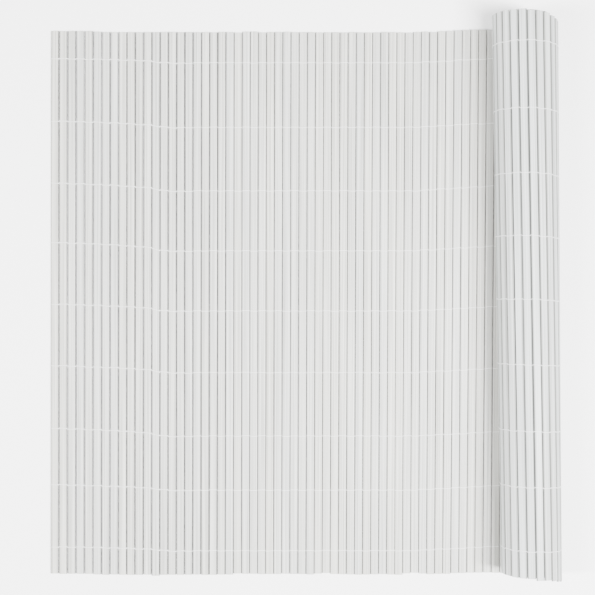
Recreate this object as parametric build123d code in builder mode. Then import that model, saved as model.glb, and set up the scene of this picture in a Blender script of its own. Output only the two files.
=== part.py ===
from build123d import *
import os
from math import sin, cos, asin, radians, pi, hypot, floor, atan2, degrees

# PVC privacy screen: hollow flat slats laced side by side by nine rows of
# twined thread. It lies flat with its right-hand part rolled up on itself.
# X runs along the mat, Y along the slats, Z up. Millimetres.

# ---- driving dimensions ----
SLAT_LENGTH = 900.0      # height of the screen when it stands
SLAT_WIDTH = 12.85
SLAT_THICK = 3.6
SLAT_WALL = 0.5
SLAT_CORNER = 1.5
SLAT_COUNT = 149
PITCH = 13.43            # slat to slat on the flat part
THREAD_THICK = 0.34
THREAD_WIDE = 0.9
THREAD_SIDE_GAP = 0.2    # between the two strands of a row
THREAD_CLEAR = 0.04      # strand to slat face
EDGE_ROOM = 0.55         # least gap between two slats where the mat bends

ROLL_RADIUS = 49.5       # hinge circle of the outer turn
LAYER = 5.3              # from one turn to the next, at the outside
TIGHTER = 0.06           # and what each tighter turn needs more
ROLL_X_NEAR = 377.3      # roll centre at the -Y end
ROLL_X_FAR = 361.1       # roll centre at the +Y end
FAR_LIFT = 6.5           # the far end of the roll sits a little higher
FAR_SLACK = 6.8878       # loose outer turn at the far end
LOOSE = 0.42             # longer lacing on the slats under the roll

FREE_EDGE_X = -409.325   # free end of the mat
MID_Y = -10.15           # middle of the slats
ORIGIN = (8.41, -3.257)  # brings the centre of the base to the origin

# thread rows on the flat part, along Y, how strongly each one bows, and how
# much higher it runs on the roll
ROWS = [
    (389.2, 0.65, 15.9), (282.1, 0.95, 17.0), (176.9, 1.20, 20.1),
    (77.4, 1.30, 20.7), (-22.2, 1.05, 19.8), (-124.3, 1.05, 18.3),
    (-229.6, 1.20, 18.4), (-319.3, 0.85, 19.4), (-419.6, 0.60, 18.4),
]
# bow of the rows: slat number, mm toward +Y
BOW = [(0, 11.0), (4, 9.4), (7.5, 7.6), (11, 4.9), (12, 3.6), (13, 0.9),
       (15, -0.9), (18, 0.0)]
# looser lacing at the free end: slat number, mm more than the pitch
WIDER = [(6, 0.65), (11, 0.33), (19, 0.33), (21, 0.015)]
# how far each slat slid toward +Y: slat number, mm
SLID = [(1, 2.7), (2, 2.0), (5, 1.5), (7, 0.1), (20, 0.1), (22, 0.8), (24, 1.6), (26, 0.6),
        (29, 1.2), (32, 0.0), (34, 1.3), (36, 0.4), (38, 0.0), (41, 0.5), (43, -0.5),
        (45, 1.8), (47, 0.7), (50, 2.2), (52, 3.4), (57, 3.2), (62, 2.6), (64, 3.4),
        (65, 4.9), (66, 7.4), (67, 10.0), (68, 11.8), (70, 13.85)]
# how a row climbs to its place on the roll: slat number, share
CLIMB = [(44, 0.0), (53, 0.33), (69, 1.0)]

HALF = SLAT_LENGTH / 2
Z_MID = SLAT_THICK / 2 + THREAD_CLEAR + THREAD_THICK
JOIN = radians(225)


def smooth(t):
    t = max(0.0, min(1.0, t))
    return t * t * (3 - 2 * t)


def uneven(k, seed):
    v = sin(k * 12.9898 + seed * 78.233) * 43758.5453
    return 2 * (v - floor(v)) - 1


def table(points, k):
    if k <= points[0][0]:
        return points[0][1]
    for (a, va), (b, vb) in zip(points, points[1:]):
        if k <= b:
            return va + (vb - va) * (k - a) / (b - a)
    return points[-1][1]


# ---- where the lacing runs between the slats ----
def coil_radius(turn):
    t = turn / (2 * pi)
    return ROLL_RADIUS - LAYER * t - TIGHTER * t * t


def near_curve(u):
    if u < 0:
        return (ROLL_X_NEAR + u * ROLL_RADIUS, Z_MID)
    r = coil_radius(u)
    return (ROLL_X_NEAR + r * sin(u), Z_MID + ROLL_RADIUS - r * cos(u))


def far_curve(u):
    centre_z = Z_MID + ROLL_RADIUS + FAR_LIFT
    if u < 0:
        x = ROLL_X_FAR + u * ROLL_RADIUS
        rise = smooth((x - 205) / 85.0) * 6.0
        dip = smooth((x - 292) / (ROLL_X_FAR - 292)) * 3.4
        return (x, Z_MID + rise - dip)
    r = coil_radius(u)
    if u < JOIN:
        q = u / JOIN
        r += (FAR_LIFT - 2.6) * (1 - smooth(q)) + FAR_SLACK * sin(pi * q ** 0.62) ** 2
    return (ROLL_X_FAR + r * sin(u), centre_z - r * cos(u))


def advance(curve, u, length):
    p = curve(u)
    low = u
    high = u + length / (ROLL_RADIUS * 0.6 if u < 0 else max(8, coil_radius(u)) * 0.6)
    for _ in range(60):
        m = (low + high) / 2
        q = curve(m)
        if hypot(q[0] - p[0], q[1] - p[1]) < length:
            low = m
        else:
            high = m
    return (low + high) / 2


def pitch_for(bend):
    # two slats that meet at a bend leave the strands room between their edges
    half_gap = EDGE_ROOM / 2
    x = (half_gap + SLAT_CORNER + (SLAT_THICK / 2 - SLAT_CORNER) * sin(bend / 2)) / cos(bend / 2)
    return 2 * (SLAT_WIDTH / 2 - SLAT_CORNER + x)


def bend_at(u):
    if u < -0.28:
        return 0.0
    return 2 * asin(min(0.9, 6.9 / max(9, coil_radius(max(0, u))))) * smooth((u + 0.28) / 0.28)


def lean(i):
    return 0.5 + 6.2 * (i / 53.0) ** 2.2


def hinge_lines():
    x = FREE_EDGE_X - (PITCH - SLAT_WIDTH) / 2
    far = [(x + lean(0) / 2, Z_MID)]
    near = [(x - lean(0) / 2, Z_MID)]
    for i in range(1, 45):
        x += PITCH + table(WIDER, i) + 0.2 * uneven(i, 3)
        far.append((x + lean(i) / 2, Z_MID))
        near.append((x - lean(i) / 2, Z_MID))
    uf = (far[-1][0] - ROLL_X_FAR) / ROLL_RADIUS
    un = (near[-1][0] - ROLL_X_NEAR) / ROLL_RADIUS
    far[-1] = far_curve(uf)
    for i in range(45, SLAT_COUNT + 1):
        length = max(pitch_for(bend_at(un)), PITCH + 0.15 * uneven(i, 3))
        if 54 <= i <= 65:
            length += LOOSE
        change = lean(i) - lean(i - 1) if i <= 53 else 0
        uf = advance(far_curve, uf, length + change / 2)
        un = advance(near_curve, un, length - change / 2)
        far.append(far_curve(uf))
        near.append(near_curve(un))
    return far, near


FAR, NEAR = hinge_lines()


def hinge(k, y):
    # hinge line k at height y along the slats
    t = (y - (MID_Y - HALF)) / SLAT_LENGTH
    return (NEAR[k][0] + (FAR[k][0] - NEAR[k][0]) * t,
            NEAR[k][1] + (FAR[k][1] - NEAR[k][1]) * t)


def slide(k):
    return table(SLID, k)


def slat_span(k):
    # both ends of slat k along Y; no two slats are cut or set quite alike
    length = SLAT_LENGTH - 0.6 - 0.9 * smooth((k - 18) / 8.0) + 0.5 * uneven(k, 17)
    if k in (23, 33, 34, 44, 45):
        length -= 2.0
    mid = MID_Y + slide(k) + 0.4 * uneven(k, 11)
    if k == 13:
        length += 1.7
        mid -= 0.85
    if k > 69:
        mid += 1.6 * sin(k * 0.37)
    return mid - length / 2, mid + length / 2


# ---- slats ----
def slat_plane(k, y):
    (x0, z0), (x1, z1) = hinge(k - 1, y), hinge(k, y)
    return Plane(
        origin=((x0 + x1) / 2 - ORIGIN[0], y - ORIGIN[1], (z0 + z1) / 2),
        x_dir=(x1 - x0, 0, z1 - z0),
        z_dir=(0, 1, 0),
    )


def slat_profile(plane, inset):
    with BuildSketch(plane) as profile:
        RectangleRounded(SLAT_WIDTH - 2 * inset, SLAT_THICK - 2 * inset,
                         SLAT_CORNER - 0.7 * inset)
    return profile.sketch


def make_slats(label, numbers):
    with BuildPart() as slats:
        for k in numbers:
            y0, y1 = slat_span(k)
            a, b = slat_plane(k, y0), slat_plane(k, y1)
            twist = a.x_dir.get_angle(b.x_dir)
            if twist < 0.02:
                with BuildSketch(a):
                    RectangleRounded(SLAT_WIDTH, SLAT_THICK, SLAT_CORNER)
                    RectangleRounded(SLAT_WIDTH - 2 * SLAT_WALL, SLAT_THICK - 2 * SLAT_WALL,
                                     SLAT_CORNER - 0.7 * SLAT_WALL, mode=Mode.SUBTRACT)
                run = b.origin - a.origin
                extrude(amount=run.length, dir=run.normalized())
            else:
                # these follow the curl of the mat, so they twist along their length
                middle = slat_plane(k, (y0 + y1) / 2)
                shell = loft([slat_profile(p, 0) for p in (a, middle, b)], mode=Mode.PRIVATE)
                core = loft([slat_profile(p, SLAT_WALL) for p in (a, middle, b)],
                            mode=Mode.PRIVATE)
                add(shell - core)
    slats.part.label = label
    export_step(slats.part, f"parts/{label}.step")
    return slats.part


# ---- threads ----
def row_y(row, k):
    # the row keeps its place for three slats, then steps along the next one
    y, strength, rise = ROWS[row]
    k = min(3 * round(k / 3), 69)
    return y + table(BOW, k) * (strength if k < 14 else 1.0) + table(CLIMB, k) * rise


def bisector(k, y):
    p = hinge(k, y)
    a = hinge(max(k - 1, 0), y)
    b = hinge(min(k + 1, SLAT_COUNT), y)
    if k == 0:
        d0 = d1 = (b[0] - p[0], b[1] - p[1])
    elif k == SLAT_COUNT:
        d0 = d1 = (p[0] - a[0], p[1] - a[1])
    else:
        d0 = (p[0] - a[0], p[1] - a[1])
        d1 = (b[0] - p[0], b[1] - p[1])
    l0, l1 = hypot(*d0), hypot(*d1)
    n0 = (-d0[1] / l0, d0[0] / l0)
    n1 = (-d1[1] / l1, d1[0] / l1)
    s = (n0[0] + n1[0], n0[1] + n1[1])
    q = 1 + n0[0] * n1[0] + n0[1] * n1[1]
    return p, (s[0] / q, s[1] / q)


def strand_path(row, first_side, offset):
    # corner points in XZ, and where each lies along Y
    reach = SLAT_THICK / 2 + THREAD_CLEAR + THREAD_THICK / 2
    path = []
    for k in range(0, SLAT_COUNT + 1):
        y = row_y(row, k)
        p, n = bisector(k, y)
        side = first_side if k % 2 == 0 else -first_side
        # slat k lies before this hinge and slat k+1 after it
        before, after = -side, side
        ends = (before, after)
        if k == 0:
            ends = (-side, side) if first_side > 0 else (side,)
        elif k == SLAT_COUNT:
            ends = (before,)
        for s in ends:
            path.append((p[0] + s * reach * n[0], p[1] + s * reach * n[1], y + offset))
    return path


def polygon_face(points):
    return Face(Wire.make_polygon([Vector(*p) for p in points], close=True))


def make_strand(label, row, first_side, offset):
    path = strand_path(row, first_side, offset)
    n = len(path)
    left, right = [], []
    for i, (x, z, y) in enumerate(path):
        if i == 0:
            a = b = (path[1][0] - x, path[1][1] - z)
        elif i == n - 1:
            a = b = (x - path[i - 1][0], z - path[i - 1][1])
        else:
            a = (x - path[i - 1][0], z - path[i - 1][1])
            b = (path[i + 1][0] - x, path[i + 1][1] - z)
        la, lb = hypot(*a), hypot(*b)
        na, nb = (-a[1] / la, a[0] / la), (-b[1] / lb, b[0] / lb)
        q = 1 + na[0] * nb[0] + na[1] * nb[1]
        m = ((na[0] + nb[0]) / q * THREAD_THICK / 2, (na[1] + nb[1]) / q * THREAD_THICK / 2)
        left.append((x + m[0] - ORIGIN[0], z + m[1]))
        right.append((x - m[0] - ORIGIN[0], z - m[1]))
    low = [p[2] - ORIGIN[1] for p in path]
    high = [v + THREAD_WIDE for v in low]

    def at(side, i, level):
        return (side[i][0], level[i], side[i][1])

    faces = [
        polygon_face([at(left, 0, low), at(right, 0, low), at(right, 0, high), at(left, 0, high)]),
        polygon_face([at(left, -1, low), at(right, -1, low), at(right, -1, high), at(left, -1, high)]),
    ]
    start = 0
    for i in range(n - 1):
        for side in (left, right):
            faces.append(polygon_face([at(side, i, low), at(side, i, high),
                                       at(side, i + 1, high), at(side, i + 1, low)]))
        level_run = abs(low[i + 1] - low[i]) < 1e-9
        if not level_run:
            for level in (low, high):
                faces.append(polygon_face([at(left, i, level), at(right, i, level),
                                           at(right, i + 1, level)]))
                faces.append(polygon_face([at(left, i, level), at(right, i + 1, level),
                                           at(left, i + 1, level)]))
            start = i + 1
        elif i == n - 2 or abs(low[i + 2] - low[i + 1]) >= 1e-9 or i + 1 - start >= 80:
            for level in (low, high):
                run = range(start, i + 2)
                faces.append(polygon_face([at(left, j, level) for j in run]
                                          + [at(right, j, level) for j in reversed(run)]))
            start = i + 1
    body = Solid(Shell(faces))
    if body.volume < 0:
        body = Solid(body.wrapped.Reversed())
    with BuildPart() as strand:
        add(body)
    strand.part.label = label
    export_step(strand.part, f"parts/{label}.step")
    return strand.part


os.makedirs("parts", exist_ok=True)

FLAT_SLATS = 57
made = []
number = 0
for first in range(1, FLAT_SLATS + 1, 3):
    number += 1
    made.append(make_slats(f"flat_slats_{number:02d}", range(first, min(first + 3, FLAT_SLATS + 1))))
number = 0
for first in range(FLAT_SLATS + 1, SLAT_COUNT + 1, 5):
    number += 1
    made.append(make_slats(f"rolled_slats_{number:02d}",
                           range(first, min(first + 5, SLAT_COUNT + 1))))
for row in range(len(ROWS)):
    made.append(make_strand(f"thread_{row + 1}_front", row, 1,
                            -THREAD_SIDE_GAP / 2 - THREAD_WIDE))
    made.append(make_strand(f"thread_{row + 1}_back", row, -1, THREAD_SIDE_GAP / 2))

box = Compound(children=made).bounding_box()
print("box", box.min, box.max)
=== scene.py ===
import bpy
from math import sin, cos, asin, radians, pi, hypot, floor, sqrt, exp, atan, degrees
from mathutils import Vector, Matrix


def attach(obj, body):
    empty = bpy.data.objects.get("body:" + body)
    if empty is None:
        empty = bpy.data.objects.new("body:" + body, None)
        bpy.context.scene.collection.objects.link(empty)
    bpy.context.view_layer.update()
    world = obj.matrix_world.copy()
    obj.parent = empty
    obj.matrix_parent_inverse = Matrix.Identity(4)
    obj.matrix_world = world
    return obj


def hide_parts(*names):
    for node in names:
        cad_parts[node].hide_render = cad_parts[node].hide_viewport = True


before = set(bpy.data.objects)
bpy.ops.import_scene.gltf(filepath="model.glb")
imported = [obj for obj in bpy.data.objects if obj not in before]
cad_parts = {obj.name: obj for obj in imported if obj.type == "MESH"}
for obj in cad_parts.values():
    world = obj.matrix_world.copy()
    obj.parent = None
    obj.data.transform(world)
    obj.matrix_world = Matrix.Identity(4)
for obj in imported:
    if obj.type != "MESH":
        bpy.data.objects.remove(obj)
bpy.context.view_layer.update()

# The screen: hollow flat slats laced by nine rows of twined thread, laid out
# flat with the rest rolled up on the right. Lengths here are in millimetres
# until mesh code turns them into metres.
MM = 0.001
SLAT_LENGTH = 900.0
SLAT_WIDTH = 12.85
SLAT_THICK = 3.6
SLAT_WALL = 0.5
SLAT_CORNER = 1.5
SLAT_COUNT = 149
PITCH = 13.43
THREAD_THICK = 0.34
THREAD_CLEAR = 0.04
EDGE_ROOM = 0.55
ROLL_RADIUS = 49.5
LAYER = 5.3
TIGHTER = 0.06
ROLL_X_NEAR = 377.3
ROLL_X_FAR = 361.1
FAR_LIFT = 6.5
FAR_SLACK = 6.8878
LOOSE = 0.42
FREE_EDGE_X = -409.325
MID_Y = -10.15
ORIGIN = (8.41, -3.257)
FLAT_SLATS = 57
ROWS = [
    (389.2, 0.65, 15.9), (282.1, 0.95, 17.0), (176.9, 1.20, 20.1),
    (77.4, 1.30, 20.7), (-22.2, 1.05, 19.8), (-124.3, 1.05, 18.3),
    (-229.6, 1.20, 18.4), (-319.3, 0.85, 19.4), (-419.6, 0.60, 18.4),
]
BOW = [(0, 11.0), (4, 9.4), (7.5, 7.6), (11, 4.9), (12, 3.6), (13, 0.9),
       (15, -0.9), (18, 0.0)]
WIDER = [(6, 0.65), (11, 0.33), (19, 0.33), (21, 0.015)]
SLID = [(1, 2.7), (2, 2.0), (5, 1.5), (7, 0.1), (20, 0.1), (22, 0.8), (24, 1.6), (26, 0.6),
        (29, 1.2), (32, 0.0), (34, 1.3), (36, 0.4), (38, 0.0), (41, 0.5), (43, -0.5),
        (45, 1.8), (47, 0.7), (50, 2.2), (52, 3.4), (57, 3.2), (62, 2.6), (64, 3.4),
        (65, 4.9), (66, 7.4), (67, 10.0), (68, 11.8), (70, 13.85)]
CLIMB = [(44, 0.0), (53, 0.33), (69, 1.0)]

HALF = SLAT_LENGTH / 2
Z_MID = SLAT_THICK / 2 + THREAD_CLEAR + THREAD_THICK
JOIN = radians(225)


def smooth(t):
    t = max(0.0, min(1.0, t))
    return t * t * (3 - 2 * t)


def uneven(k, seed):
    v = sin(k * 12.9898 + seed * 78.233) * 43758.5453
    return 2 * (v - floor(v)) - 1


def table(points, k):
    if k <= points[0][0]:
        return points[0][1]
    for (a, va), (b, vb) in zip(points, points[1:]):
        if k <= b:
            return va + (vb - va) * (k - a) / (b - a)
    return points[-1][1]


# ---- where the lacing runs between the slats, as in the construction ----
def coil_radius(turn):
    t = turn / (2 * pi)
    return ROLL_RADIUS - LAYER * t - TIGHTER * t * t


def near_curve(u):
    if u < 0:
        return (ROLL_X_NEAR + u * ROLL_RADIUS, Z_MID)
    r = coil_radius(u)
    return (ROLL_X_NEAR + r * sin(u), Z_MID + ROLL_RADIUS - r * cos(u))


def far_curve(u):
    centre_z = Z_MID + ROLL_RADIUS + FAR_LIFT
    if u < 0:
        x = ROLL_X_FAR + u * ROLL_RADIUS
        rise = smooth((x - 205) / 85.0) * 6.0
        dip = smooth((x - 292) / (ROLL_X_FAR - 292)) * 3.4
        return (x, Z_MID + rise - dip)
    r = coil_radius(u)
    if u < JOIN:
        q = u / JOIN
        r += (FAR_LIFT - 2.6) * (1 - smooth(q)) + FAR_SLACK * sin(pi * q ** 0.62) ** 2
    return (ROLL_X_FAR + r * sin(u), centre_z - r * cos(u))


def advance(curve, u, length):
    p = curve(u)
    low = u
    high = u + length / (ROLL_RADIUS * 0.6 if u < 0 else max(8, coil_radius(u)) * 0.6)
    for _ in range(60):
        m = (low + high) / 2
        q = curve(m)
        if hypot(q[0] - p[0], q[1] - p[1]) < length:
            low = m
        else:
            high = m
    return (low + high) / 2


def pitch_for(bend):
    half_gap = EDGE_ROOM / 2
    x = (half_gap + SLAT_CORNER + (SLAT_THICK / 2 - SLAT_CORNER) * sin(bend / 2)) / cos(bend / 2)
    return 2 * (SLAT_WIDTH / 2 - SLAT_CORNER + x)


def bend_at(u):
    if u < -0.28:
        return 0.0
    return 2 * asin(min(0.9, 6.9 / max(9, coil_radius(max(0, u))))) * smooth((u + 0.28) / 0.28)


def lean(i):
    return 0.5 + 6.2 * (i / 53.0) ** 2.2


def hinge_lines():
    x = FREE_EDGE_X - (PITCH - SLAT_WIDTH) / 2
    far = [(x + lean(0) / 2, Z_MID)]
    near = [(x - lean(0) / 2, Z_MID)]
    for i in range(1, 45):
        x += PITCH + table(WIDER, i) + 0.2 * uneven(i, 3)
        far.append((x + lean(i) / 2, Z_MID))
        near.append((x - lean(i) / 2, Z_MID))
    uf = (far[-1][0] - ROLL_X_FAR) / ROLL_RADIUS
    un = (near[-1][0] - ROLL_X_NEAR) / ROLL_RADIUS
    far[-1] = far_curve(uf)
    for i in range(45, SLAT_COUNT + 1):
        length = max(pitch_for(bend_at(un)), PITCH + 0.15 * uneven(i, 3))
        if 54 <= i <= 65:
            length += LOOSE
        change = lean(i) - lean(i - 1) if i <= 53 else 0
        uf = advance(far_curve, uf, length + change / 2)
        un = advance(near_curve, un, length - change / 2)
        far.append(far_curve(uf))
        near.append(near_curve(un))
    return far, near


FAR, NEAR = hinge_lines()


def hinge(k, y):
    t = (y - (MID_Y - HALF)) / SLAT_LENGTH
    return (NEAR[k][0] + (FAR[k][0] - NEAR[k][0]) * t,
            NEAR[k][1] + (FAR[k][1] - NEAR[k][1]) * t)


def slide(k):
    return table(SLID, k)


def slat_span(k):
    length = SLAT_LENGTH - 0.6 - 0.9 * smooth((k - 18) / 8.0) + 0.5 * uneven(k, 17)
    if k in (23, 33, 34, 44, 45):
        length -= 2.0
    mid = MID_Y + slide(k) + 0.4 * uneven(k, 11)
    if k == 13:
        length += 1.7
        mid -= 0.85
    if k > 69:
        mid += 1.6 * sin(k * 0.37)
    return mid - length / 2, mid + length / 2


# ---- meshes ----
def section(k, y):
    # centre, direction across the slat, and outward normal, at one place along it
    (x0, z0), (x1, z1) = hinge(k - 1, y), hinge(k, y)
    d = hypot(x1 - x0, z1 - z0)
    a = ((x1 - x0) / d, (z1 - z0) / d)
    return ((x0 + x1) / 2 - ORIGIN[0], (z0 + z1) / 2), a, (-a[1], a[0])


def outer_profile():
    # a flat tube with slightly crowned faces and round edges
    half_w, half_t = SLAT_WIDTH / 2 - 0.01, SLAT_THICK / 2 - 0.01
    r = 1.6
    edge_t = half_t - 0.13
    pts = []
    top = []
    n = 14
    for i in range(n + 1):
        x = (half_w - r) * (-1 + 2 * i / n)
        top.append((x, half_t - 0.13 * (abs(x) / (half_w - r)) ** 2.2))
    right = []
    for i in range(1, 8):
        a = pi / 2 - i * (pi / 2) / 8
        right.append((half_w - r + r * cos(a), edge_t - r + r * sin(a)))
    right.append((half_w, 0.1))
    pts = top + right
    lower = [(x, -z) for x, z in reversed(pts)]
    left = [(-x, -z) for x, z in right]
    return pts + lower + left


def inner_profile():
    half_w, half_t = SLAT_WIDTH / 2 - SLAT_WALL, SLAT_THICK / 2 - SLAT_WALL - 0.05
    r = 1.1
    pts = []
    for cx, cz, a0 in ((half_w - r, half_t - r, 90), (half_w - r, -half_t + r, 0),
                       (-half_w + r, -half_t + r, -90), (-half_w + r, half_t - r, 180)):
        for i in range(4):
            a = radians(a0 - i * 30)
            pts.append((cx + r * cos(a), cz + r * sin(a)))
    return pts


OUTER = outer_profile()
EDGE_X = max(x for x, z in OUTER) - 0.42
INNER = inner_profile()


def girth(points):
    s = [0.0]
    for a, b in zip(points, points[1:] + points[:1]):
        s.append(s[-1] + hypot(b[0] - a[0], b[1] - a[1]))
    return s


class Shape:
    def __init__(self):
        self.verts, self.faces, self.uvs, self.tone, self.kind, self.painted_shade = [], [], [], [], [], []

    def ring(self, pts):
        first = len(self.verts)
        self.verts.extend(pts)
        return first

    def face(self, idx, uv, tone, kind, painted_shade=0.0):
        self.faces.append(idx)
        self.uvs.append(uv)
        self.tone.append(tone)
        self.kind.append(kind)
        self.painted_shade.append(painted_shade)

    def build(self, name, material, nodes, smooth_angle=True):
        mesh = bpy.data.meshes.new(name)
        mesh.from_pydata([(x * MM, y * MM, z * MM) for x, y, z in self.verts], [], self.faces)
        uv = mesh.uv_layers.new(name="along")
        i = 0
        for face_uv in self.uvs:
            for c in face_uv:
                uv.data[i].uv = c
                i += 1
        tone = mesh.attributes.new("tone", "FLOAT", "FACE")
        tone.data.foreach_set("value", self.tone)
        warm = mesh.attributes.new("warm", "FLOAT", "FACE")
        warm.data.foreach_set("value", self.kind)
        painted_shade = mesh.attributes.new("painted_shade", "FLOAT", "FACE")
        painted_shade.data.foreach_set("value", self.painted_shade)
        mesh.polygons.foreach_set("use_smooth", [True] * len(mesh.polygons))
        mesh.materials.append(material)
        mesh.validate()
        obj = bpy.data.objects.new(name, mesh)
        bpy.context.scene.collection.objects.link(obj)
        if smooth_angle:
            mesh.set_sharp_from_angle(angle=radians(50))
        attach(obj, "root")
        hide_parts(*nodes)
        return obj


def add_slat(shape, k):
    y0, y1 = slat_span(k)
    steps = 10
    tone = uneven(k, 41)
    if 60 < k < 67:
        # painted shade: these slats, on the right-hand side of the roll, are made darker
        tone -= 9.0
    warm = uneven(k, 53)
    outer_s = girth(OUTER)
    rings = []
    for j in range(steps + 1):
        y = y0 + (y1 - y0) * j / steps
        (cx, cz), a, n = section(k, y)
        # extruded slats are never quite straight
        bend = 0.13 * sin(pi * j / steps * (1.0 + 0.6 * uneven(k, 5)) + 3 * uneven(k, 7)) * (
            1 if 0 < j < steps else 0.7)
        pts = [(cx + a[0] * (px + bend) + n[0] * pz, y - ORIGIN[1], cz + a[1] * (px + bend) + n[1] * pz)
               for px, pz in OUTER]
        rings.append((shape.ring(pts), y))
    m = len(OUTER)
    for (r0, ya), (r1, yb) in zip(rings, rings[1:]):
        for i in range(m):
            j = (i + 1) % m
            u0, u1 = outer_s[i] / 40 + k * 1.7, outer_s[i + 1] / 40 + k * 1.7
            v0, v1 = ya / 900 + k * 0.37, yb / 900 + k * 0.37
            mid_x = abs(OUTER[i][0] + OUTER[j][0]) / 2
            mid_z = (OUTER[i][1] + OUTER[j][1]) / 2
            # painted shade: the side walls and lower edges of each slat are darkened, standing in for the shade
            # down in the gaps
            if k > FLAT_SLATS:
                painted_shade = 1.0 if mid_x > 4.5 and mid_z < 0.5 else 0.0
            else:
                # painted shade: near the free edge the darkening reaches higher up the slat edges, to deepen
                # the gap lines there
                edge = EDGE_X - (0.23 if k < 22 else 0)
                painted_shade = 1.0 if mid_x > edge or (mid_z < 0 and mid_x > 4.5) else 0.0
                if k < 22 and EDGE_X - 0.48 < mid_x <= edge and mid_z > 0:
                    painted_shade = 0.4
            shape.face((r0 + i, r0 + j, r1 + j, r1 + i),
                       ((u0, v0), (u1, v0), (u1, v1), (u0, v1)), tone, warm, painted_shade)
    inner = []
    for y, depth in ((y0, 0), (y1, 0)):
        (cx, cz), a, n = section(k, y)
        inner.append(shape.ring([(cx + a[0] * px + n[0] * pz, y - ORIGIN[1], cz + a[1] * px + n[1] * pz)
                                 for px, pz in INNER]))
    q = len(INNER)
    for i in range(q):
        j = (i + 1) % q
        shape.face((inner[0] + j, inner[0] + i, inner[1] + i, inner[1] + j),
                   ((i / q, 0), (j / q, 0), (j / q, 1), (i / q, 1)), tone, warm)
    # the cut ends: a ring of wall between the two profiles
    for ring, start, flip in ((rings[0][0], inner[0], False), (rings[-1][0], inner[1], True)):
        stitch(shape, ring, start, flip, tone, warm)


def angle_of(p):
    # position round the profile, from the middle of the left edge
    from math import atan2
    return (-atan2(p[1] / SLAT_THICK, -p[0] / SLAT_WIDTH)) % (2 * pi)


def stitch(shape, outer_start, inner_start, flip, tone, warm):
    mo, mi = len(OUTER), len(INNER)
    oa = sorted(range(mo), key=lambda i: -angle_of(OUTER[i]) % (2 * pi))
    ia = sorted(range(mi), key=lambda i: -angle_of(INNER[i]) % (2 * pi))
    ao = [(-angle_of(OUTER[i])) % (2 * pi) for i in oa]
    ai = [(-angle_of(INNER[i])) % (2 * pi) for i in ia]
    i = j = 0
    while i < mo or j < mi:
        next_o = ao[i + 1] if i + 1 < mo else ao[0] + 2 * pi
        next_i = ai[j + 1] if j + 1 < mi else ai[0] + 2 * pi
        if j >= mi or (i < mo and next_o <= next_i):
            tri = (outer_start + oa[i % mo], outer_start + oa[(i + 1) % mo], inner_start + ia[j % mi])
            i += 1
        else:
            tri = (outer_start + oa[i % mo], inner_start + ia[(j + 1) % mi], inner_start + ia[j % mi])
            j += 1
        if flip:
            tri = tri[::-1]
        shape.face(tri, ((0, 0), (0.01, 0), (0.01, 0.01)), tone, warm)


# ---- threads ----
def row_y(row, k):
    y, strength, rise = ROWS[row]
    bow = table(BOW, k) * (strength if k < 14 else 1.0)
    small = 0.35 * uneven(k, 61 + row) * (1 if k < 70 else 0.4)
    return y + bow + table(CLIMB, k) * rise + small


def path_point(k, y, side, along, lift):
    (cx, cz), a, n = section(k, y)
    return (cx + a[0] * along + n[0] * side * lift, cz + a[1] * along + n[1] * side * lift)


def strand_points(row, first_side, offset):
    # over one slat, through the gap, under the next
    reach = SLAT_THICK / 2 + THREAD_CLEAR + THREAD_THICK / 2 - 0.02
    pts = []
    for k in range(1, SLAT_COUNT + 1):
        side = first_side if k % 2 == 1 else -first_side
        y0, y1 = row_y(row, k - 1) + offset, row_y(row, k) + offset
        for s, lift in ((-5.55, reach - 0.06), (-3.0, reach + 0.01), (3.0, reach + 0.01), (5.55, reach - 0.06)):
            t = 0.5 + s / SLAT_WIDTH
            y = y0 + (y1 - y0) * t
            # at the edges the two strands pull together
            x, z = path_point(k, y, side, s, lift)
            pull = -0.12 if offset > 0 else 0.12
            pts.append((x, y + pull * (abs(s) / 5.55) ** 2 - ORIGIN[1], z))
        if k < SLAT_COUNT:
            y = y1
            (hx, hz) = hinge(k, y)
            pull = -0.05 if offset > 0 else 0.05
            (c0, a0, n0), (c1, a1, n1) = section(k, y), section(k + 1, y)
            nx, nz = n0[0] + n1[0], n0[1] + n1[1]
            d = hypot(nx, nz)
            nx, nz = nx / d, nz / d
            for h in (side * 1.93, -side * 1.93):
                pts.append((hx - ORIGIN[0] + nx * h, y + pull - ORIGIN[1], hz + nz * h))
    return pts


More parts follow.
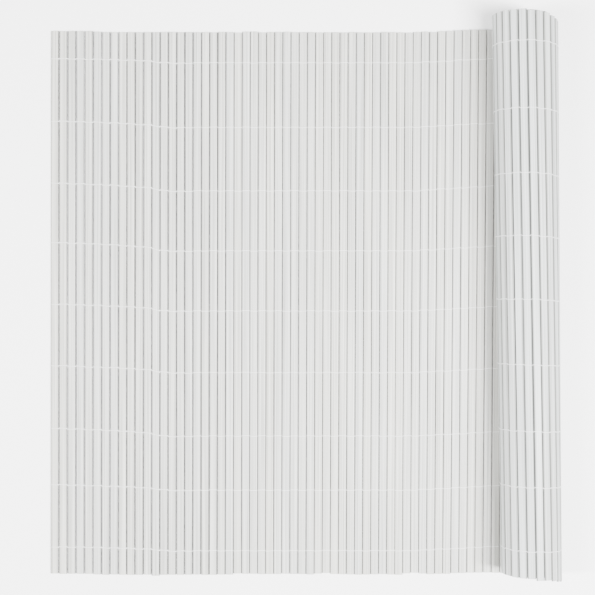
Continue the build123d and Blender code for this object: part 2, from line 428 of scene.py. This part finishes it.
def add_strand(shape, points, wide, thick, tone):
    sides = 6
    # each slat gives four points and each gap two
    in_gap = [i % 6 > 3 for i in range(len(points))]
    near_gap = [i % 6 in (0, 3) for i in range(len(points))]
    pts = [Vector(p) for p in points]
    n = len(pts)
    rings = []
    run = 0.0
    lengths = []
    for i, p in enumerate(pts):
        a = pts[max(i - 1, 0)]
        b = pts[min(i + 1, n - 1)]
        d = (b - a).normalized()
        across = Vector((0, 1, 0))
        up = d.cross(across).normalized()
        across = up.cross(d).normalized()
        if i:
            run += (p - pts[i - 1]).length
        lengths.append(run)
        ring = []
        for s in range(sides):
            ang = 2 * pi * (s + 0.5) / sides
            free = 1 - smooth((i / 6 - 13) / 6)
            swell = 1 + free * (1.0 if in_gap[i] else 0.6 if near_gap[i] else 0)
            q = p + across * (cos(ang) * swell * wide / 2) + up * (sin(ang) * thick / 2)
            ring.append(tuple(q))
        rings.append(shape.ring(ring))
    for i in range(n - 1):
        for s in range(sides):
            t = (s + 1) % sides
            v0, v1 = lengths[i] / 40, lengths[i + 1] / 40
            k = i / 6
            # painted shade: the thread is greyer over the slats near the free edge and on the roll, and in the
            # gaps away from the free edge
            thread_shade = 1.0 - 0.7 * smooth((k - 9) / 9) + 0.45 * smooth((k - 52) / 6)
            if in_gap[i] or in_gap[i + 1]:
                thread_shade = 0.7 * smooth((k - 13) / 6)
            shape.face((rings[i] + s, rings[i] + t, rings[i + 1] + t, rings[i + 1] + s),
                       ((s / sides, v0), ((s + 1) / sides, v0), ((s + 1) / sides, v1), (s / sides, v1)),
                       tone, 0.0, thread_shade)
    shape.face(tuple(rings[0] + s for s in reversed(range(sides))),
               tuple((0, 0) for _ in range(sides)), tone, 0.0)
    shape.face(tuple(rings[-1] + s for s in range(sides)),
               tuple((0, 0) for _ in range(sides)), tone, 0.0)


# ---- materials ----
def node(tree, kind, **values):
    n = tree.nodes.new(kind)
    for key, value in values.items():
        if hasattr(n, key):
            setattr(n, key, value)
        else:
            n.inputs[key].default_value = value
    return n


def slat_material(name, warm_base, cool_base, gap_shade_level):
    mat = bpy.data.materials.new(name)
    mat.use_nodes = True
    t = mat.node_tree
    t.nodes.clear()
    out = t.nodes.new("ShaderNodeOutputMaterial")
    bsdf = t.nodes.new("ShaderNodeBsdfPrincipled")
    t.links.new(bsdf.outputs["BSDF"], out.inputs["Surface"])
    bsdf.inputs["IOR"].default_value = 1.46
    bsdf.inputs["Specular IOR Level"].default_value = 0.42

    tone = node(t, "ShaderNodeAttribute", attribute_name="tone")
    warm = node(t, "ShaderNodeAttribute", attribute_name="warm")
    uv = node(t, "ShaderNodeUVMap", uv_map="along")

    # warm or cool slats
    warmth = node(t, "ShaderNodeMapRange")
    warmth.inputs["From Min"].default_value = -1
    warmth.inputs["From Max"].default_value = 1
    t.links.new(warm.outputs["Fac"], warmth.inputs["Value"])
    mix = node(t, "ShaderNodeMix", data_type="RGBA")
    mix.inputs["A"].default_value = (*cool_base, 1)
    mix.inputs["B"].default_value = (*warm_base, 1)
    t.links.new(warmth.outputs["Result"], mix.inputs["Factor"])

    # fine streaks along the slat
    stretch = node(t, "ShaderNodeMapping")
    stretch.inputs["Scale"].default_value = (17, 2.2, 1)
    t.links.new(uv.outputs["UV"], stretch.inputs["Vector"])
    streak = node(t, "ShaderNodeTexNoise")
    streak.inputs["Scale"].default_value = 1.0
    streak.inputs["Detail"].default_value = 3.0
    t.links.new(stretch.outputs["Vector"], streak.inputs["Vector"])

    # soft blotches, as on handled plastic
    blotch = node(t, "ShaderNodeTexNoise")
    blotch.inputs["Scale"].default_value = 9.0
    blotch.inputs["Detail"].default_value = 4.0
    coords = node(t, "ShaderNodeTexCoord")
    t.links.new(coords.outputs["Object"], blotch.inputs["Vector"])

    add1 = node(t, "ShaderNodeMath", operation="MULTIPLY_ADD")
    t.links.new(tone.outputs["Fac"], add1.inputs[0])
    add1.inputs[1].default_value = 0.016
    add1.inputs[2].default_value = 1.0
    add2 = node(t, "ShaderNodeMath", operation="MULTIPLY_ADD")
    t.links.new(streak.outputs["Fac"], add2.inputs[0])
    add2.inputs[1].default_value = 1.5
    t.links.new(add1.outputs[0], add2.inputs[2])
    add3 = node(t, "ShaderNodeMath", operation="MULTIPLY_ADD")
    t.links.new(blotch.outputs["Fac"], add3.inputs[0])
    add3.inputs[1].default_value = 0.03
    t.links.new(add2.outputs[0], add3.inputs[2])
    less = node(t, "ShaderNodeMath", operation="SUBTRACT")
    t.links.new(add3.outputs[0], less.inputs[0])
    less.inputs[1].default_value = 0.765
    scale = node(t, "ShaderNodeVectorMath", operation="SCALE")
    t.links.new(mix.outputs["Result"], scale.inputs[0])
    t.links.new(less.outputs[0], scale.inputs["Scale"])
    # painted shade: the side walls and lower edges, down in the gaps, are darkened
    painted_shade = node(t, "ShaderNodeAttribute", attribute_name="painted_shade")
    gap_shade = node(t, "ShaderNodeMix", data_type="RGBA", blend_type="MULTIPLY")
    t.links.new(painted_shade.outputs["Fac"], gap_shade.inputs["Factor"])
    t.links.new(scale.outputs["Vector"], gap_shade.inputs["A"])
    gap_shade.inputs["B"].default_value = (gap_shade_level, gap_shade_level, gap_shade_level * 0.96, 1)
    t.links.new(gap_shade.outputs["Result"], bsdf.inputs["Base Color"])

    rough = node(t, "ShaderNodeMapRange")
    rough.inputs["To Min"].default_value = 0.36
    rough.inputs["To Max"].default_value = 0.52
    t.links.new(streak.outputs["Fac"], rough.inputs["Value"])
    t.links.new(rough.outputs["Result"], bsdf.inputs["Roughness"])

    # extrusion lines
    lines = node(t, "ShaderNodeMapping")
    lines.inputs["Scale"].default_value = (48, 0.9, 1)
    t.links.new(uv.outputs["UV"], lines.inputs["Vector"])
    fine = node(t, "ShaderNodeTexNoise")
    fine.inputs["Scale"].default_value = 1.0
    fine.inputs["Detail"].default_value = 2.0
    t.links.new(lines.outputs["Vector"], fine.inputs["Vector"])
    bump = node(t, "ShaderNodeBump")
    bump.inputs["Strength"].default_value = 0.35
    bump.inputs["Distance"].default_value = 0.00022
    t.links.new(fine.outputs["Fac"], bump.inputs["Height"])
    t.links.new(bump.outputs["Normal"], bsdf.inputs["Normal"])
    return mat


def thread_material():
    mat = bpy.data.materials.new("white_thread")
    mat.use_nodes = True
    t = mat.node_tree
    t.nodes.clear()
    out = t.nodes.new("ShaderNodeOutputMaterial")
    bsdf = t.nodes.new("ShaderNodeBsdfPrincipled")
    t.links.new(bsdf.outputs["BSDF"], out.inputs["Surface"])
    bsdf.inputs["Sheen Weight"].default_value = 0.25
    bsdf.inputs["Sheen Roughness"].default_value = 0.5
    uv = node(t, "ShaderNodeUVMap", uv_map="along")
    turn = node(t, "ShaderNodeMapping")
    turn.inputs["Scale"].default_value = (3, 60, 1)
    turn.inputs["Rotation"].default_value = (0, 0, 0.6)
    t.links.new(uv.outputs["UV"], turn.inputs["Vector"])
    ply = node(t, "ShaderNodeTexWave", wave_type="BANDS", bands_direction="Y")
    ply.inputs["Scale"].default_value = 1.0
    ply.inputs["Distortion"].default_value = 0.8
    t.links.new(turn.outputs["Vector"], ply.inputs["Vector"])
    ramp = node(t, "ShaderNodeValToRGB")
    ramp.color_ramp.elements[0].color = (0.82, 0.82, 0.81, 1)
    ramp.color_ramp.elements[1].color = (0.93, 0.93, 0.925, 1)
    t.links.new(ply.outputs["Fac"], ramp.inputs["Fac"])
    # painted shade: the thread is darkened over the slats and kept lighter in the gaps
    painted_shade = node(t, "ShaderNodeAttribute", attribute_name="painted_shade")
    thread_shade_mix = node(t, "ShaderNodeMix", data_type="RGBA", blend_type="MULTIPLY")
    t.links.new(painted_shade.outputs["Fac"], thread_shade_mix.inputs["Factor"])
    t.links.new(ramp.outputs["Color"], thread_shade_mix.inputs["A"])
    thread_shade_mix.inputs["B"].default_value = (0.78, 0.78, 0.78, 1)
    t.links.new(thread_shade_mix.outputs["Result"], bsdf.inputs["Base Color"])
    rough = node(t, "ShaderNodeMapRange")
    rough.inputs["To Min"].default_value = 0.55
    rough.inputs["To Max"].default_value = 0.8
    t.links.new(ply.outputs["Fac"], rough.inputs["Value"])
    t.links.new(rough.outputs["Result"], bsdf.inputs["Roughness"])
    bump = node(t, "ShaderNodeBump")
    bump.inputs["Strength"].default_value = 0.6
    bump.inputs["Distance"].default_value = 0.00008
    t.links.new(ply.outputs["Fac"], bump.inputs["Height"])
    t.links.new(bump.outputs["Normal"], bsdf.inputs["Normal"])
    return mat


# the last value is how dark the painted shade in the gaps is
FLAT_MAT = slat_material("flat_pvc", (0.456, 0.452, 0.418), (0.442, 0.447, 0.432), 0.12)
ROLL_MAT = slat_material("rolled_pvc", (0.448, 0.456, 0.446), (0.432, 0.454, 0.452), 0.42)
THREAD_MAT = thread_material()

number = 0
for first in range(1, FLAT_SLATS + 1, 3):
    number += 1
    shape = Shape()
    for k in range(first, min(first + 3, FLAT_SLATS + 1)):
        add_slat(shape, k)
    shape.build(f"flat_slats_{number:02d}_looks", FLAT_MAT, [f"flat_slats_{number:02d}"])
number = 0
for first in range(FLAT_SLATS + 1, SLAT_COUNT + 1, 5):
    number += 1
    shape = Shape()
    for k in range(first, min(first + 5, SLAT_COUNT + 1)):
        add_slat(shape, k)
    shape.build(f"rolled_slats_{number:02d}_looks", ROLL_MAT, [f"rolled_slats_{number:02d}"])
for row in range(len(ROWS)):
    for label, side, offset in (("front", 1, -0.48), ("back", -1, 0.48)):
        shape = Shape()
        add_strand(shape, strand_points(row, side, offset), 0.86, THREAD_THICK, uneven(row, 71))
        shape.build(f"thread_{row + 1}_{label}_looks", THREAD_MAT,
                    [f"thread_{row + 1}_{label}"], smooth_angle=False)

# ---- floor, light, camera ----
mesh = bpy.data.meshes.new("floor")
s = 6.0
mesh.from_pydata([(-s, -s, -0.0002), (s, -s, -0.0002), (s, s, -0.0002), (-s, s, -0.0002)], [], [(0, 1, 2, 3)])
floor_obj = bpy.data.objects.new("floor", mesh)
bpy.context.scene.collection.objects.link(floor_obj)
floor_mat = bpy.data.materials.new("floor_paper")
floor_mat.use_nodes = True
fb = floor_mat.node_tree.nodes["Principled BSDF"]
fb.inputs["Base Color"].default_value = (0.97, 0.97, 0.97, 1)
fb.inputs["Roughness"].default_value = 0.95
fb.inputs["Specular IOR Level"].default_value = 0.0
mesh.materials.append(floor_mat)

world = bpy.data.worlds.new("studio")
bpy.context.scene.world = world
world.use_nodes = True
bg = world.node_tree.nodes["Background"]
bg.inputs["Color"].default_value = (1.0, 1.0, 1.0, 1)
bg.inputs["Strength"].default_value = 1.0


def area(name, place, aim, size, power):
    light = bpy.data.lights.new(name, "AREA")
    light.shape = "RECTANGLE"
    light.size, light.size_y = size
    light.energy = power
    obj = bpy.data.objects.new(name, light)
    obj.location = place
    obj.rotation_euler = (Vector(aim) - Vector(place)).to_track_quat("-Z", "Y").to_euler()
    bpy.context.scene.collection.objects.link(obj)
    return obj


area("key_right", (1.25, -0.42, 2.6), (0.1, 0.0, 0.0), (0.45, 1.8), 380)
area("key_left", (-2.15, -0.42, 2.6), (0.0, 0.0, 0.0), (0.45, 1.8), 262)

CAMERA_HEIGHT = 1.971
SCALE = 1.6575 * MM
cam = bpy.data.cameras.new("view")
cam.sensor_width = 36.0
half = 297.5 * SCALE
cam.lens = 18.0 * (CAMERA_HEIGHT - 0.004) / half
cam.clip_start, cam.clip_end = 0.05, 20
cam_obj = bpy.data.objects.new("view", cam)
cam_obj.location = (-ORIGIN[0] * MM, -ORIGIN[1] * MM, CAMERA_HEIGHT)
cam_obj.rotation_euler = (0, 0, 0)
bpy.context.scene.collection.objects.link(cam_obj)
bpy.context.scene.camera = cam_obj
